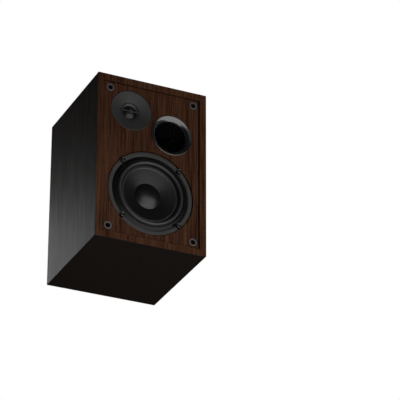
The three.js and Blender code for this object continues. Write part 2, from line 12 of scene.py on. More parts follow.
import bmesh
import bpy
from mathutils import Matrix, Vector


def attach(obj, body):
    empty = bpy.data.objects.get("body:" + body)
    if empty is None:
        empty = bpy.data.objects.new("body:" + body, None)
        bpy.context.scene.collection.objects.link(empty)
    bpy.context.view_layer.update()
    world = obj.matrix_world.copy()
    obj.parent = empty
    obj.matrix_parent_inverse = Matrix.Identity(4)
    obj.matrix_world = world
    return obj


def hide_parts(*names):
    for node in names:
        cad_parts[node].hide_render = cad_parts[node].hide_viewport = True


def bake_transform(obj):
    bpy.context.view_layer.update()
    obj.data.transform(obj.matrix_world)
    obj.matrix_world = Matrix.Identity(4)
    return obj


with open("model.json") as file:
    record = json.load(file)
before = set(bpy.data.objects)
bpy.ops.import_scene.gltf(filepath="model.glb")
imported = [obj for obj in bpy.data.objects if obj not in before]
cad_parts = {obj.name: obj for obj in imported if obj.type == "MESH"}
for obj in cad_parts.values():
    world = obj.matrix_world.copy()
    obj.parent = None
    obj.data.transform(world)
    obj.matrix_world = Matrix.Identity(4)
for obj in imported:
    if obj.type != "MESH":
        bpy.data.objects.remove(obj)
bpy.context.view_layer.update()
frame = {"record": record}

MM = 0.001
FRONT, BACK = -94.0, 94.0
WIDTH, HEIGHT = 176.0, 270.0
PANEL, LAMINATE = 9.6, 0.8  # thickness of the boards, and of the lipping over their front edges
CORNER = 0.9  # how far the foil is rounded over the cabinet's long edges
SETBACK, BAFFLE = 3.3, 12.0  # depth of the baffle's face, and the baffle's thickness
SHADOW_GAP = 0.9  # between the baffle's face and the lipping
WOOFER = (0.0, 87.5)
TWEETER = (-33.0, 217.8)
PORT = (32.5, 190.3)
SOCKETS = [(-67.4, 20.7), (67.4, 20.7), (-67.4, 249.3), (67.4, 249.3)]
WOOFER_SCREWS = [(-44.83, 132.33), (44.83, 132.33), (44.83, 42.67), (-44.83, 42.67)]
CUP_Z, POST_Z = 95.0, 87.0
CUP_SCREWS = [(-41.5, 123.5), (41.5, 123.5), (41.5, 66.5), (-41.5, 66.5)]
POSTS = {"red": 9.525, "black": -9.525}
CUP_CUTOUT, CUP_RIM = (76.6, 50.6, 6), (92, 66)  # width, height, and the cutout's corner radius
CUP_FLOOR_Y, CUP_BACK_Y, REAR_Y = 72.0, 69.5, 89.5
BOARD_FRONT_Y = 67.9
CREASE = 38.0  # degrees between two faces from which their edge is crisp
WELD = 1e-4  # vertices closer than this are one

FLOOR_GLOW = 0.45  # keeps the floor evenly pale
BACKDROP, AMBIENT = 1.0, 0.026  # the world's strength as the camera sees it, and as light
CAMERA_PLACE, CAMERA_AIM = (-1.2142, -2.8944, -1.4939), (0.3726, 0.8076, 0.4571)
LENS, SENSOR = 211.6, 36.0
WHITE = (1.0, 1.0, 1.0, 1.0)

BODY_OF = {n: body for body, names in frame["record"]["behaviour"]["bodies"].items() for n in names}
SLOT_OF = {s["node"]: s["material_slot"] for s in frame["record"]["subparts"]}
MATERIALS = {}

# ---------------------------------------------------------------------------------------------- materials


class Tree:
    """A node tree to be filled."""

    def __init__(self, owner):
        owner.use_nodes = True
        self.nodes, self.links = owner.node_tree.nodes, owner.node_tree.links
        self.nodes.clear()

    def put(self, socket, value):
        """Link an output to the socket, or give it a constant."""
        if isinstance(value, bpy.types.NodeSocket):
            self.links.new(value, socket)
        else:
            socket.default_value = value

    def node(self, kind, inputs):
        node = self.nodes.new("ShaderNode" + kind)
        for name, value in inputs.items():
            self.put(node.inputs[name], value)
        return node


class Finish(Tree):
    """A procedural material, kept in MATERIALS. Its textures run in the object's own millimetres."""

    def __init__(self, name, roughness, metallic=0.0, coat=0.0, sheen=0.0, specular=0.5):
        MATERIALS[name] = self.material = bpy.data.materials.new(name)
        super().__init__(self.material)
        values = {
            "Roughness": roughness,
            "Metallic": metallic,
            "Coat Weight": coat,
            "Coat Roughness": 0.1,
            "Sheen Weight": sheen,
            "Specular IOR Level": specular,
        }
        self.output = self.node("OutputMaterial", {})
        self.shader = self.node("BsdfPrincipled", values)
        self.put(self.output.inputs["Surface"], self.shader.outputs[0])
        self.place = self.node("TexCoord", {}).outputs["Object"]

    def stretched(self, cells, shift=(0, 0, 0)):
        """Coordinates with so many texture cells per millimetre, everywhere or along (x, y, z)."""
        scale = [c / MM for c in (cells if isinstance(cells, tuple) else (cells,) * 3)]
        return self.node("Mapping", {"Vector": self.place, "Scale": scale, "Location": shift}).outputs[0]

    def radius(self, centre, unit):
        """Distance from a line along Y through centre (x, z), as a multiple of unit millimetres."""
        x, z = centre
        across = self.stretched((1.0 / unit, 0.0, 1.0 / unit), (-x / unit, 0.0, -z / unit))
        node = self.node("VectorMath", {0: across})
        node.operation = "LENGTH"
        return node.outputs["Value"]

    def noise(self, cells, shift=(0, 0, 0), detail=3.0, roughness=0.5, distortion=0.0):
        values = {"Scale": 1.0, "Detail": detail, "Roughness": roughness, "Distortion": distortion}
        return self.node("TexNoise", {"Vector": self.stretched(cells, shift), **values}).outputs["Fac"]

    def stripes(self, axis, pitch, waver, distortion):
        """Soft stripes across an axis, about 1.6 to each pitch. waver is the cell size that distorts them."""
        scale = tuple(3.14 / (pitch * math.tau) if a == axis else waver for a in "XYZ")
        node = self.node("TexWave", {"Vector": self.stretched(scale), "Scale": 1.0, "Distortion": distortion})
        node.bands_direction = axis
        return node.outputs["Fac"]

    def ramp(self, factor, *stops):
        """Stops are (position, grey) or (position, (r, g, b))."""
        node = self.node("ValToRGB", {"Fac": factor})
        elements = node.color_ramp.elements
        while len(elements) < len(stops):
            elements.new(0.5)
        for element, (position, colour) in zip(elements, stops):
            rgb = colour if isinstance(colour, tuple) else (colour,) * 3
            element.position = position
            element.color = (*rgb, 1.0)
        return node.outputs["Color"]

    def mix(self, factor, a, b):
        node = self.nodes.new("ShaderNodeMix")
        node.data_type = "RGBA"
        self.put(node.inputs["Factor"], factor)
        for socket, value in ((node.inputs[6], a), (node.inputs[7], b)):
            self.put(socket, (*value, 1.0) if isinstance(value, tuple) else value)
        return node.outputs[2]

    def shade(self, name, value):
        """Set or link an input of the shader."""
        self.put(self.shader.inputs[name], value)

    def gloss(self, factor, smooth, rough):
        """Roughness between two values as the factor goes from 0 to 1."""
        node = self.node("MapRange", {"Value": factor, "To Min": smooth, "To Max": rough})
        self.shade("Roughness", node.outputs["Result"])

    def bump(self, height, depth):
        """Relief of that depth in millimetres. Later calls add to earlier ones."""
        node = self.node("Bump", {"Strength": 1.0, "Distance": depth * MM, "Height": height})
        normal = self.shader.inputs["Normal"]
        if normal.is_linked:
            self.put(node.inputs["Normal"], normal.links[0].from_socket)
        self.put(normal, node.outputs["Normal"])


def shaded(rgb, factor):
    return tuple(c * factor for c in rgb)


def moulded(name, rgb, roughness, texture, relief, spread=0.25, **kinds):
    """Plastic, rubber, ceramic or paint: a fine-textured skin with slight mottling and specks of dust."""
    f = Finish(name, roughness, **kinds)
    cloud = f.noise(0.05, detail=4.0, roughness=0.6)
    skin = f.noise(texture, detail=2.0)
    tone = f.ramp(cloud, (0.3, shaded(rgb, 1 - spread)), (0.7, shaded(rgb, 1 + spread)))
    dust = f.ramp(f.noise(2.1, (7, 3, 1), detail=1.0), (0.70, 0.0), (0.80, 0.16))
    f.shade("Base Color", f.mix(dust, tone, shaded(rgb, 2.2)))
    f.gloss(cloud, roughness * 0.85, min(roughness * 1.2, 1.0))
    f.bump(skin, relief)


def metal(name, rgb, roughness):
    """Bare or plated metal with fine drawn lines and tarnish in patches."""
    f = Finish(name, roughness, metallic=1.0)
    lines = f.noise((0.06, 0.06, 2.5), detail=5.0, roughness=0.65)
    tarnish = f.noise(0.12, (3, 5, 7), detail=5.0, roughness=0.65)
    f.shade("Base Color", f.ramp(tarnish, (0.28, shaded(rgb, 0.62)), (0.5, rgb), (0.75, shaded(rgb, 1.12))))
    f.gloss(lines, roughness * 0.7, min(roughness * 1.5, 1.0))
    f.bump(lines, 0.012)


def grained(name, dark, mid, light, roughness, pore_depth, specular, blush=None):
    """Foil printed and embossed with straight wood grain along Z, with redder streaks if blush is given."""
    f = Finish(name, roughness)
    figure = f.noise((0.15, 0.15, 0.006), (4, 9, 2), roughness=0.55, distortion=0.3)
    bands = f.noise((0.55, 0.55, 0.012), (1, 5, 8), detail=4.0, roughness=0.65, distortion=0.15)
    fibre = f.noise((1.9, 1.9, 0.03), (6, 1, 4), roughness=0.6)
    pores = f.noise((4.2, 4.2, 0.12), (2, 2, 6), detail=2.0)
    tone = f.mix(0.58, f.ramp(figure, (0.3, 0.0), (0.7, 1.0)), f.ramp(bands, (0.32, 0.0), (0.68, 1.0)))
    tone = f.mix(0.36, tone, f.ramp(fibre, (0.3, 0.0), (0.7, 1.0)))
    base = f.ramp(tone, (0.29, dark), (0.5, mid), (0.73, light))
    if blush:
        streaks = f.noise((0.32, 0.32, 0.008), (8, 2, 5), roughness=0.6)
        red = f.mix(tone, shaded(blush, 0.5), shaded(blush, 1.5))
        base = f.mix(f.ramp(streaks, (0.46, 0.0), (0.66, 0.55)), base, red)
    dashes = f.ramp(pores, (0.34, 1.0), (0.42, 0.0))
    f.shade("Base Color", f.mix(dashes, base, shaded(dark, 0.5)))
    f.gloss(fibre, roughness * 0.85, roughness * 1.2)
    sheen = f.mix(0.45, f.ramp(bands, (0.35, 0.0), (0.65, 1.0)), f.ramp(fibre, (0.35, 0.0), (0.65, 1.0)))
    f.shade("Specular IOR Level", f.ramp(sheen, (0.25, specular * 0.5), (0.75, specular * 1.5)))
    f.bump(f.ramp(pores, (0.32, 0.0), (0.46, 1.0)), pore_depth)
    f.bump(fibre, pore_depth * 0.5)


def rolled_rubber(name):
    """Moulded rubber: dull on the roll and the lip, darker and smoother on the skirt, and darker in the
    groove by the cone's lip, partly as a glue bead and partly as painted shade.
    """
    f = Finish(name, 0.42)
    reach = f.radius(WOOFER, 100.0)
    # painted shade: the band from r 43.8 to 46.7 mm, in the groove between the cone's lip and the roll, is
    # darkened partly as a glue bead and partly as the shade that falls there
    groove = ((0.438, 0.0), (0.444, 0.9), (0.460, 0.9), (0.467, 0.0))
    dark = f.ramp(reach, *groove, (0.531, 0.0), (0.541, 1.0))
    cloud = f.noise(0.05, detail=4.0)
    roll = f.ramp(cloud, (0.3, (0.0150, 0.0150, 0.0152)), (0.7, (0.0190, 0.0190, 0.0192)))
    # the darker colour in the groove is partly painted shade; on the skirt it is the rubber's own darker
    # colour
    f.shade("Base Color", f.mix(dark, roll, (0.0034, 0.0034, 0.0036)))
    f.gloss(dark, 0.45, 0.34)
    f.shade("Specular IOR Level", f.ramp(dark, (0.0, 0.5), (1.0, 0.19)))
    f.bump(f.noise(1.6, detail=2.0), 0.012)


def pulp(name):
    """Pressed paper pulp: felted fibres, more or less dense in places."""
    f = Finish(name, 0.48, specular=0.28)
    fibres = f.noise(0.9, detail=6.0, roughness=0.75, distortion=1.2)
    cloud = f.noise(0.04)
    tone = f.ramp(fibres, (0.3, (0.0038, 0.0038, 0.0038)), (0.7, (0.0068, 0.0068, 0.0069)))
    f.shade("Base Color", f.mix(f.ramp(cloud, (0.3, 0.0), (0.8, 0.4)), tone, (0.005, 0.005, 0.005)))
    f.gloss(fibres, 0.28, 0.40)
    f.bump(fibres, 0.05)


def liner_and_shade_plastic(name):
    """A greyish collar whose hole is black from 2.4 mm below the cabinet's front: partly a black rubber
    liner, partly painted shade deep in the hole.
    """
    f = Finish(name, 0.42)
    depth = f.stretched(0.01, (0.0, -FRONT / 100, 0.0))
    depth = f.node("SeparateXYZ", {0: depth}).outputs["Y"]
    # painted shade: black from 2.4 mm deep, partly a rubber liner and partly the shade inside the socket's
    # hole
    liner_and_painted_shade = f.ramp(depth, (0.024, 0.0), (0.028, 1.0))
    cloud = f.noise(0.3, detail=4.0)
    collar = f.ramp(cloud, (0.3, (0.060, 0.051, 0.053)), (0.7, (0.074, 0.064, 0.067)))
    f.shade("Base Color", f.mix(liner_and_painted_shade, collar, (0.002, 0.002, 0.002)))
    f.gloss(liner_and_painted_shade, 0.42, 0.7)
    f.bump(f.noise(1.8, detail=2.0), 0.03)


def wound(name, rgb, pitch, roughness):
    """Enamelled wire laid turn by turn along Y."""
    f = Finish(name, roughness, metallic=1.0, coat=0.4)
    turns = f.stripes("Y", pitch, 0.02, 0.4)
    cloud = f.noise(0.3)
    tone = f.mix(turns, shaded(rgb, 0.45), rgb)
    f.shade("Base Color", f.mix(f.ramp(cloud, (0.4, 0.0), (0.8, 0.5)), tone, shaded(rgb, 0.7)))
    f.gloss(cloud, roughness * 0.8, roughness * 1.3)
    f.bump(turns, 0.12)


def woven(name, rgb, pitch, roughness):
    """Cloth with warp and weft along X and Z, dipped in resin."""
    f = Finish(name, roughness, sheen=0.2)
    cloth = f.mix(0.5, f.stripes("X", pitch, 0.01, 0.3), f.stripes("Z", pitch, 0.01, 0.3))
    cloud = f.noise(0.2)
    tone = f.mix(cloth, shaded(rgb, 0.5), shaded(rgb, 1.1))
    f.shade("Base Color", f.mix(f.ramp(cloud, (0.4, 0.0), (0.8, 0.4)), tone, shaded(rgb, 0.75)))
    f.gloss(cloud, roughness * 0.8, roughness)
    f.bump(cloth, 0.08)


def fluffy(name, rgb):
    """Loose polyester fibre."""
    f = Finish(name, 0.95, sheen=0.5)
    tufts = f.noise(0.25, detail=6.0, roughness=0.7, distortion=1.5)
    strands = f.noise(2.0, detail=4.0, roughness=0.8, distortion=2.5)
    f.shade("Base Color", f.mix(strands, f.ramp(tufts, (0.3, shaded(rgb, 0.6)), (0.7, rgb)), rgb))
    f.gloss(strands, 0.85, 1.0)
    f.bump(tufts, 0.8)
    f.bump(strands, 0.25)


ash = (0.0075, 0.0045, 0.0032), (0.0132, 0.0076, 0.0054), (0.0200, 0.0125, 0.0092)
walnut = (0.0190, 0.0068, 0.0030), (0.0450, 0.0188, 0.0094), (0.0860, 0.0370, 0.0190)
lipping = (0.0240, 0.0084, 0.0036), (0.0530, 0.0220, 0.0108), (0.0900, 0.0390, 0.0195)
gleam = {"roughness": 0.45, "pore_depth": 0.04, "specular": 0.06}
grained("black_ash_vinyl", *ash, roughness=0.46, pore_depth=0.05, specular=0.42)
grained("walnut_foil", *walnut, **gleam, blush=(0.056, 0.017, 0.0085))
grained("walnut_lipping", *lipping, **gleam, blush=(0.066, 0.021, 0.010))
moulded("black_steel", (0.039, 0.0392, 0.037), 0.5, texture=2.4, relief=0.03, spread=0.12, specular=0.3)
metal("zinc_steel", (0.55, 0.56, 0.58), 0.30)
metal("screw_steel", (0.11, 0.11, 0.11), 0.22)
moulded("ferrite", (0.030, 0.031, 0.033), 0.75, texture=1.0, relief=0.06)
rolled_rubber("rubber")
moulded("foam", (0.018, 0.018, 0.018), 0.95, texture=2.5, relief=0.2)
pulp("cone_paper")
moulded("cap_plastic", (0.003, 0.003, 0.003), 0.33, texture=0.5, relief=0.006, spread=0.15)
moulded("dome_film", (0.007, 0.007, 0.007), 0.32, texture=0.7, relief=0.006, specular=0.35)
moulded("satin_plastic", (0.0195, 0.0197, 0.019), 0.48, texture=2.6, relief=0.03, spread=0.1)
moulded("gloss_plastic", (0.003, 0.003, 0.003), 0.27, texture=0.3, relief=0.004, coat=1.0, specular=0.9)
# grille sockets whose holes are black deep down, partly a liner and partly painted shade
liner_and_shade_plastic("socket_plastic")
moulded("black_plastic", (0.022, 0.020, 0.020), 0.42, texture=1.8, relief=0.03)
wound("copper", (0.62, 0.22, 0.09), pitch=0.5, roughness=0.3)
moulded("kapton", (0.36, 0.16, 0.03), 0.3, texture=0.8, relief=0.01)
woven("damper_cloth", (0.47, 0.28, 0.07), pitch=0.6, roughness=0.9)
metal("brass", (0.78, 0.56, 0.20), 0.24)
moulded("red_plastic", (0.34, 0.010, 0.010), 0.28, texture=1.0, relief=0.01, coat=0.2)
moulded("phenolic", (0.28, 0.13, 0.045), 0.5, texture=1.0, relief=0.02)
moulded("capacitor_film", (0.025, 0.065, 0.20), 0.3, texture=0.4, relief=0.03)
moulded("ceramic", (0.72, 0.69, 0.62), 0.75, texture=1.5, relief=0.05, spread=0.08)
fluffy("wadding", (0.78, 0.77, 0.74))
moulded("red_sleeve", (0.38, 0.016, 0.016), 0.4, texture=0.8, relief=0.02)
moulded("black_sleeve", (0.012, 0.012, 0.012), 0.4, texture=0.8, relief=0.02)

# ------------------------------------------------------------------------------------------------- shapes


def placed(name, data):
    """A new object in the scene."""
    obj = bpy.data.objects.new(name, data)
    bpy.context.scene.collection.objects.link(obj)
    return obj


def applied(obj):
    """obj with its modifiers worked into its mesh."""
    bpy.context.view_layer.update()
    mesh = bpy.data.meshes.new_from_object(obj.evaluated_get(bpy.context.evaluated_depsgraph_get()))
    obj.modifiers.clear()
    obj.data = mesh
    return obj


def settled(obj, crease=CREASE):
    """Smooth round faces, crisp edges, and flat faces that stay flat next to their rounded rims."""
    obj.data.shade_smooth()
    obj.data.set_sharp_from_angle(angle=math.radians(crease))
    modifier = obj.modifiers.new("flat_faces", "WEIGHTED_NORMAL")
    modifier.keep_sharp = True
    modifier.weight = 100
    return applied(obj)


def built(name, bm, crease=CREASE):
    """The closed mesh in bm, in millimetres, as an object."""
    bmesh.ops.remove_doubles(bm, verts=bm.verts, dist=WELD)
    bmesh.ops.recalc_face_normals(bm, faces=bm.faces)
    bmesh.ops.scale(bm, vec=(MM, MM, MM), verts=bm.verts)
    mesh = bpy.data.meshes.new(name)
    bm.to_mesh(mesh)
    bm.free()
    return settled(placed(name, mesh), crease)


def dressed(obj, slot, finish=None):
    """obj in the material of its slot, or in a variant of it."""
    obj.data.materials.clear()
    obj.data.materials.append(MATERIALS[finish or slot])


def named_after(obj):
    """The CAD node of a piece that was given the same name, to which Blender added a number."""
    return obj.name.partition(".")[0]


def show(obj, finish=None):
    """obj stands for the CAD node that it is named after, on that node's body."""
    node = named_after(obj)
    dressed(obj, SLOT_OF[node], finish)
    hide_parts(node)
    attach(obj, BODY_OF[node])
    return obj


def trim(obj, slot):
    """A detail of the cabinet's body that is no CAD node of its own."""
    dressed(obj, slot)
    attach(obj, "cabinet")


def bends(obj):
    """obj is a soft ring; it stands for the CAD node it is named after, in that node's slot, with its
    placement worked into its mesh and on no body.
    """
    node = named_after(obj)
    dressed(obj, SLOT_OF[node])
    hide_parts(node)
    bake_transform(obj)


def filleted(profile, steps=4):
    """A closed profile in which each point that has a third value is rounded to about that radius."""
    points = []
    for k, point in enumerate(profile):
        if len(point) < 3:
            points.append(Vector(point))
            continue
        corner = Vector(point[:2])
        before, after = Vector(profile[k - 1][:2]), Vector(profile[(k + 1) % len(profile)][:2])
        reach = min(point[2], 0.49 * (before - corner).length, 0.49 * (after - corner).length)
        a = corner + (before - corner).normalized() * reach
        b = corner + (after - corner).normalized() * reach
        for step in range(steps + 1):
            t = step / steps
            points.append(a * (1 - t) ** 2 + corner * 2 * t * (1 - t) + b * t**2)
    return points


def skinned(name, rings, closed=False, capped=False):
    """Faces between each two neighbouring rings of points. A ring of one point is the tip of a fan."""
    bm = bmesh.new()
    rings = [[bm.verts.new(point) for point in ring] for ring in rings]
    count = len(rings)
    for k in range(count if closed else count - 1):
        a, b = rings[k], rings[(k + 1) % count]
        size = max(len(a), len(b))
        for j in range(size):
            i = (j + 1) % size
            corners = dict.fromkeys((a[j % len(a)], a[i % len(a)], b[i % len(b)], b[j % len(b)]))
            if len(corners) > 2:
                bm.faces.new(list(corners))
    if capped:
        bm.faces.new(rings[0])
        bm.faces.new(rings[-1])
    return built(name, bm)


def polar(reach, at, count):
    """Points (x, z) round at, each at the distance reach(turn)."""
    turns = [math.tau * k / count for k in range(count)]
    return [(at[0] + reach(t) * math.cos(t), at[1] + reach(t) * math.sin(t)) for t in turns]


def circle(radius, at, count=96):
    return polar(lambda turn: radius, at, count)


def turned(name, profile, at=(0, 0), y=FRONT, segments=96):
    """A closed [radius, depth] profile turned about the Y axis through at."""
    rings = []
    for radius, depth in filleted(profile):
        outline = [at] if radius < 1e-6 else circle(radius, at, segments)
        rings.append([(x, y + depth, z) for x, z in outline])
    return skinned(name, rings, closed=True)


def tube(inner, outer, y0, y1, edge=0.3):
    return [(inner, y0, edge), (outer, y0, edge), (outer, y1, edge), (inner, y1, edge)]


def oval(width, height, radius, centre_z, per_corner=8):
    """Points of a rectangle with rounded corners, centred on x = 0."""
    radius = max(radius, 0.01)
    points = []
    for k, (sx, sz) in enumerate([(1, -1), (1, 1), (-1, 1), (-1, -1)]):
        cx, cz = sx * (width / 2 - radius), centre_z + sz * (height / 2 - radius)
        for step in range(per_corner + 1):
            turn = (k - 1) * math.pi / 2 + step / per_corner * math.pi / 2
            points.append((cx + radius * math.cos(turn), cz + radius * math.sin(turn)))
    return points


def swept(name, profile, width, height, centre_z, capped=False):
    """A profile of [inset, y, corner radius] carried round a rectangle, closed by flat ends if capped."""
    rings = []
    for inset, y, radius in profile:
        outline = oval(width - 2 * inset, height - 2 * inset, radius, centre_z)
        rings.append([(x, y, z) for x, z in outline])
    return skinned(name, rings, closed=not capped, capped=capped)


def plate_mesh(outlines, y0, y1, edge):
    """A flat board between two depths, with rounded edges; outlines after the first are holes."""
    curve = bpy.data.curves.new("outline", "CURVE")
    curve.dimensions = "2D"
    curve.fill_mode = "BOTH"
    curve.extrude = (y1 - y0) / 2 - edge
    curve.bevel_depth = edge
    curve.bevel_resolution = 1
    curve.offset = -edge
    for outline in outlines:
        spline = curve.splines.new("POLY")
        spline.points.add(len(outline) - 1)
        for point, (x, z) in zip(spline.points, outline):
            point.co = (x, z, 0, 1)
        spline.use_cyclic_u = True
    carrier = bpy.data.objects.new("outline", curve)
    mesh = bpy.data.meshes.new_from_object(carrier)
    bm = bmesh.new()
    bm.from_mesh(mesh)
    for v in bm.verts:
        x, z, across = v.co
        v.co = (x, (y0 + y1) / 2 - across, z)
    bpy.data.objects.remove(carrier)
    bpy.data.curves.remove(curve)
    bpy.data.meshes.remove(mesh)
    return bm


def plates(name, layers, edge):
    """Boards stacked into one piece, as (outlines, y0, y1)."""
    whole = bmesh.new()
    for outlines, y0, y1 in layers:
        part = plate_mesh(outlines, y0, y1, edge)
        bmesh.ops.remove_doubles(part, verts=part.verts, dist=WELD)
        mesh = bpy.data.meshes.new("layer")
        part.to_mesh(mesh)
        part.free()
        whole.from_mesh(mesh)
        bpy.data.meshes.remove(mesh)
    return built(name, whole)


def bar(name, x, y, z, edge=0.3):
    """A block with rounded edges, from its ranges along the axes."""
    bm = bmesh.new()
    bmesh.ops.create_cube(bm, size=1.0)
    for v in bm.verts:
        v.co = [(r[0] + r[1]) / 2 + c * (r[1] - r[0]) for r, c in zip((x, y, z), v.co)]
    bmesh.ops.bevel(bm, geom=bm.edges[:], offset=edge, segments=3, profile=0.5, affect="EDGES")
    return built(name, bm)


def union(name, *parts):
    """Several overlapping closed shapes as one object, each keeping its own skin."""
    bm = bmesh.new()
    for part in parts:
        bm.from_mesh(part.data)
        bpy.data.objects.remove(part)
    bmesh.ops.scale(bm, vec=(1 / MM,) * 3, verts=bm.verts)
    return built(name, bm)


def carved(obj, *cutters):
    """obj with the cutters' shapes taken out of it."""
    for cutter in cutters:
        modifier = obj.modifiers.new("cut", "BOOLEAN")
        modifier.operation = "DIFFERENCE"
        modifier.solver = "EXACT"
        modifier.object = cutter
    applied(obj)
    for cutter in cutters:
        bpy.data.objects.remove(cutter)
    return settled(obj)


def around(centre, across):
    """The range (low, high) that reaches so far to both sides of the centre."""
    return (centre - across, centre + across)


# ------------------------------------------------------------------------------------------------ cabinet


def board(node, corners, on_side):
    """A mitred board. Its outer long edges, at the first two corners, are rounded up to the mitre."""

    def outline(inset):
        points = []
        for k, (x, z) in enumerate(corners):
            sx, sz = math.copysign(1, x), 1 if z > HEIGHT / 2 else -1
            if k > 1:
                points.append((x + sx * inset, z + sz * inset))
                continue
            radius = CORNER - inset
            flat = 0 if on_side else 90
            arc = [math.radians(flat + (45 - flat) * s / 4) for s in range(5)]
            if (k == 0) == on_side:
                arc.reverse()
            cx, cz = x - sx * CORNER, z - sz * CORNER
            points += [(cx + sx * radius * math.cos(t), cz + sz * radius * math.sin(t)) for t in arc]
        return points

    back_rim = ((0.0, BACK - 0.5), (0.15, BACK - 0.15), (0.5, BACK))
    rings = [[(x, y, z) for x, z in outline(inset)] for inset, y in ((0.0, FRONT + LAMINATE), *back_rim)]
    show(skinned(node, rings, capped=True))


def cabinet():
    xo, xi = WIDTH / 2, WIDTH / 2 - PANEL
    top, under = HEIGHT, HEIGHT - PANEL
    board("left_side_panel", [(-xo, 0), (-xo, top), (-xi, under), (-xi, PANEL)], True)
    board("right_side_panel", [(xo, 0), (xo, top), (xi, under), (xi, PANEL)], True)
    board("top_panel", [(-xo, top), (xo, top), (xi, under), (-xi, under)], False)
    board("bottom_panel", [(-xo, 0), (xo, 0), (xi, PANEL), (-xi, PANEL)], False)

    inner = PANEL + LAMINATE
    section = [
        (0.0, FRONT + LAMINATE, CORNER),
        (0.0, FRONT + 0.3, CORNER),
        (0.09, FRONT + 0.09, CORNER),
        (0.3, FRONT, CORNER),
        (inner - 0.3, FRONT, 0.3),
        (inner - 0.09, FRONT + 0.09, 0.1),
        (inner, FRONT + 0.3, 0.0),
        (inner, FRONT + SETBACK, 0.0),
        (PANEL, FRONT + SETBACK, 0.0),
        (PANEL, FRONT + LAMINATE, 0.0),
    ]
    show(swept("front_edge_laminate", section, WIDTH, HEIGHT, HEIGHT / 2), "walnut_lipping")

    field = oval(WIDTH - 2 * PANEL, HEIGHT - 2 * PANEL, 0, HEIGHT / 2, 1)
    gap = 2 * SHADOW_GAP
    front_field = oval(WIDTH - 2 * inner - gap, HEIGHT - 2 * inner - gap, 0, HEIGHT / 2, 1)
    shared = [circle(30.5, PORT), *(circle(5.3, at, 32) for at in SOCKETS)]
    flange, basket = circle(68.3, WOOFER, 160), circle(61.8, WOOFER, 160)
    plate, horn = circle(32.9, TWEETER, 128), circle(27, TWEETER)
    face, plate_seat, flange_seat, back = (FRONT + d for d in (SETBACK, 6.0, 7.7, SETBACK + BAFFLE))
    layers = [
        ([front_field, flange, plate, *shared], face, plate_seat),
        ([field, flange, horn, *shared], plate_seat, flange_seat),
        ([field, basket, horn, *shared], flange_seat, back),
    ]
    show(plates("front_baffle", layers, 0.2))
    show(plates("rear_panel", [([field, oval(*CUP_CUTOUT, CUP_Z)], REAR_Y - 9, REAR_Y)], 0.15))


# ------------------------------------------------------------------------------- port and grille sockets


def port_and_sockets():
    bore, flare, rim_radius = 24.2, 0.78, 0.95  # the flare stops at this share of its quarter turn
    turns = [math.pi / 2 * k / 16 for k in range(17)]
    mouth = [(bore + 11.8 * (1 - math.cos(flare * t)), 9.9 - 8.5 * math.sin(flare * t)) for t in turns]
    rim = [(32.05 + rim_radius * math.sin(t), 2.85 - rim_radius * math.cos(t)) for t in turns]
    profile = [
        *mouth,
        *rim,
        (30.2, 3.2),
        (30.2, 8.0),
        (26.6, 12.0),
        (26.4, 118.0, 0.8),
        (bore, 118.0, 0.8),
    ]
    show(turned("port_tube", profile, PORT, segments=128))
    for k, at in enumerate(SOCKETS, 1):
        profile = [
            (0, 12.8),
            (3.7, 12.8),
            (3.7, 2.0, 0.4),
            (6.4, 2.0, 0.6),
            (6.4, 3.2),
            (5.0, 3.2),
            (5.0, 14.0, 0.5),
            (0, 14.0),
        ]
        show(turned(f"grille_socket_{k}", profile, at, segments=48), "socket_plastic")


# ------------------------------------------------------------------------------------------------ woofer


def arch(centre, half_width, foot, crest, steps):
    """Half of an ellipse in a profile, from its inner foot over the crest to its outer foot."""
    turns = [math.pi * k / steps for k in range(steps + 1)]
    return [(centre - half_width * math.cos(t), foot - (foot - crest) * math.sin(t)) for t in turns]


def dome(rim, rise, crest, steps):
    """Points of a spherical cap's section from the axis to its rim."""
    radius = (rim * rim + rise * rise) / (2 * rise)
    half = math.asin(rim / radius)
    turns = [half * k / steps for k in range(steps + 1)]
    return [(radius * math.sin(t), crest + radius * (1 - math.cos(t))) for t in turns]


def shell(rim, rise, crest, wall):
    outside, inside = dome(rim, rise, crest, 14), dome(rim - wall, rise - wall / 2, crest + wall, 14)
    return [*outside, *reversed(inside)]


def woofer_frame():
    section = [
        (15, 38.4, 0.5),
        (32.4, 38.4, 0.8),
        (33.9, 27.4, 0.8),
        (41, 27.4, 1.5),
        (53, 7.5, 1.5),
        (60.7, 7.5, 0.2),
        (60.7, 5.1, 0.3),
        (61.5, 4.5, 0.4),
        (66.4, 4.5, 0.5),
        (67, 5.2, 0.4),
        (67, 6.9),
        (61.3, 6.9),
        (61.3, 9, 0.6),
        (54, 9, 1.5),
        (42.7, 29, 1.5),
        (35.5, 29, 0.8),
        (34, 40, 0.8),
        (15, 40, 0.5),
    ]
    basket = turned("woofer_basket", section, WOOFER, segments=144)
    windows = []
    width, length, height, out, depth = 24, 14, 22, 48, 18.5
    for k in range(6):
        cos, sin = math.cos(k * math.pi / 3), math.sin(k * math.pi / 3)
        bm = bmesh.new()
        bmesh.ops.create_cube(bm, size=1.0)
        for v in bm.verts:
            x, y, z = v.co.x * width, FRONT + depth + v.co.y * length, out + v.co.z * height
            v.co = (x * cos + z * sin, y, z * cos - x * sin + WOOFER[1])
        sides = [e for e in bm.edges if abs(e.verts[0].co.y - e.verts[1].co.y) < 1]
        bmesh.ops.bevel(bm, geom=sides, offset=2, segments=3, profile=0.5, affect="EDGES")
        windows.append(built("window", bm))
    pocket = [(0, 0), (4.2, 0), (4.2, 5.6), (0, 5.6)]
    pockets = [turned("pocket", pocket, at, segments=48) for at in WOOFER_SCREWS]
    show(carved(basket, *windows, *pockets))
    show(turned("woofer_gasket", tube(62.2, 66.8, 6.95, 7.65, 0.1), WOOFER))


